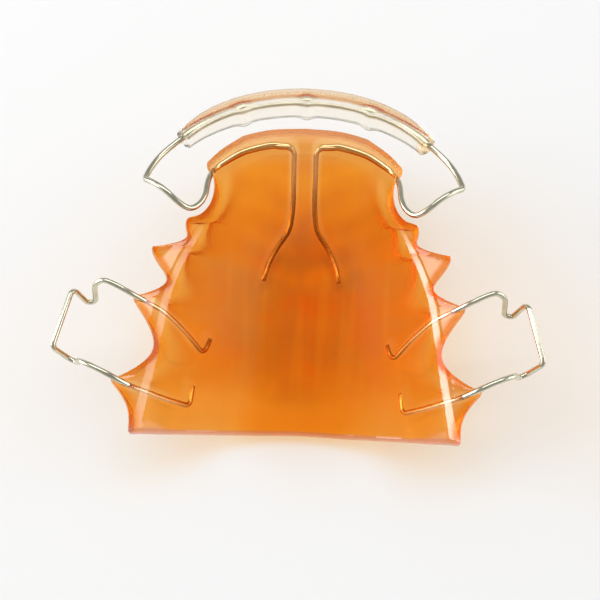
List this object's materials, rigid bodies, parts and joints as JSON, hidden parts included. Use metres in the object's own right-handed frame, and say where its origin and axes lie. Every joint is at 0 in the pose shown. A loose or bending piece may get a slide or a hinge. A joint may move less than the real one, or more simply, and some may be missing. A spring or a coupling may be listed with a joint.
{
  "type": "removable retainer",
  "caption": "Removable upper retainer: bowl-shaped clear acrylic palate plate, bent wire bow with a clear facing over the incisors, and a wire clasp for each first molar.",
  "frame": {"origin": "middle of the bounding box in plan, at the lowest level of the plate's underside", "axes": "+X across the arch, to the right of the picture; +Y from the molars to the incisors; +Z from the tissue side to the chewing side"},
  "size_m": [0.061, 0.0486, 0.0163],
  "materials": {
    "orange_acrylic": "dyed clear acrylic, polished",
    "clear_acrylic": "clear acrylic, polished",
    "steel_wire": "drawn stainless wire, polished"
  },
  "bodies": {
    "root": {"base_plate": "orange_acrylic", "labial_facing": "clear_acrylic", "labial_bow": "steel_wire", "molar_clasp_left": "steel_wire", "molar_clasp_right": "steel_wire"}
  },
  "joints": []
}
